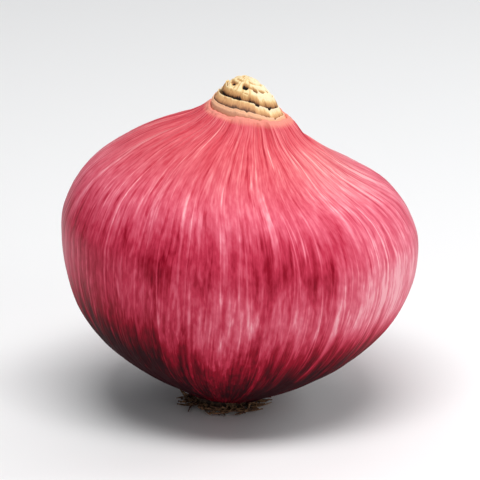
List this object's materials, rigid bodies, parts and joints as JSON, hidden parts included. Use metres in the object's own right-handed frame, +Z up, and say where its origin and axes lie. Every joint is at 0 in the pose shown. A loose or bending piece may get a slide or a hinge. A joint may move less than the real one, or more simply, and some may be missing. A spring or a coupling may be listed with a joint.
{
  "type": "red onion",
  "caption": "Round red onion with sweeping shoulders, a cut neck of dry straw sheaths and a tuft of clipped roots that it stands on.",
  "frame": {"origin": "centre of the root plate's flat underside, on the surface that the onion rests on", "axes": "+Z up from the surface, +X the side that the neck leans to, -Y the side that faces the viewer"},
  "size_m": [0.0701, 0.0692, 0.0679],
  "materials": {
    "onion_skin": "thin dry papery skin, satin, crimson with pale pink veins along it",
    "dry_sheath": "dry straw-coloured leaf sheaths, matt, cut across",
    "dry_root": "dry brown root plate and root stubs, matt and fibrous"
  },
  "bodies": {
    "root": {"bulb": "onion_skin", "neck_sheaths": "dry_sheath", "root_tuft": "dry_root"}
  },
  "joints": []
}
